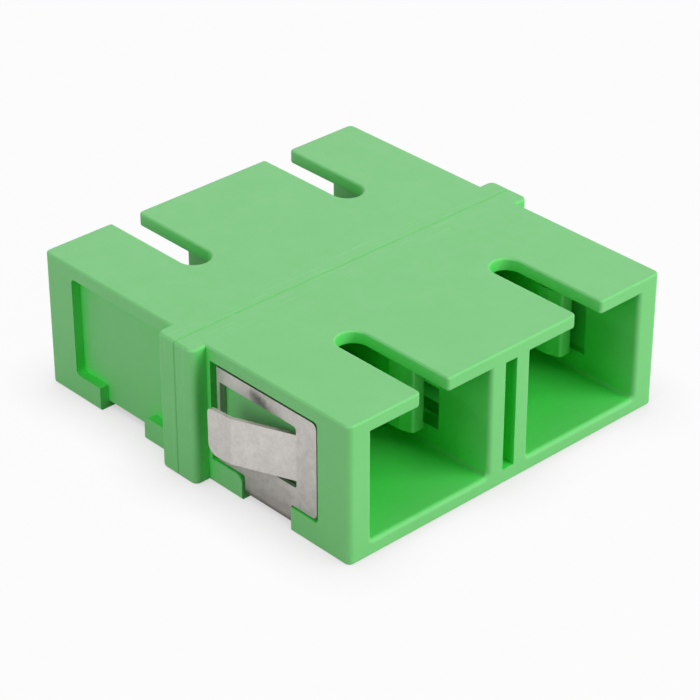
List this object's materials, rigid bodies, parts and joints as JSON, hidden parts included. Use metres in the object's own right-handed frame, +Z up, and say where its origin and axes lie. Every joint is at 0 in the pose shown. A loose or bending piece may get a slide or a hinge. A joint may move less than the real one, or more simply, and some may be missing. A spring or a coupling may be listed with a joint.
{
  "type": "duplex sc fibre adapter",
  "caption": "Green duplex fibre adapter: open square sockets side by side at each end, key slots, mid lugs, split sleeves inside and a folded steel panel clip.",
  "frame": {"origin": "middle of the underside, at the centre of the bounding box", "axes": "+X across the two ports to the right, -Y towards the front mouths, +Z up through the key slots"},
  "size_m": [0.0288, 0.0274, 0.0093],
  "materials": {
    "green_housing": "moulded satin green plastic",
    "green_holder": "moulded satin green plastic",
    "spring_steel": "rolled stainless spring sheet, fine satin",
    "white_ceramic": "polished zirconia, given as gloss plastic because the list has no ceramic"
  },
  "bodies": {
    "root": {"front_housing": "green_housing", "left_front_sleeve_holder": "green_holder", "left_rear_sleeve_holder": "green_holder", "left_split_sleeve": "white_ceramic", "panel_clip": "spring_steel", "rear_housing": "green_housing", "right_front_sleeve_holder": "green_holder", "right_rear_sleeve_holder": "green_holder", "right_split_sleeve": "white_ceramic"}
  },
  "joints": []
}
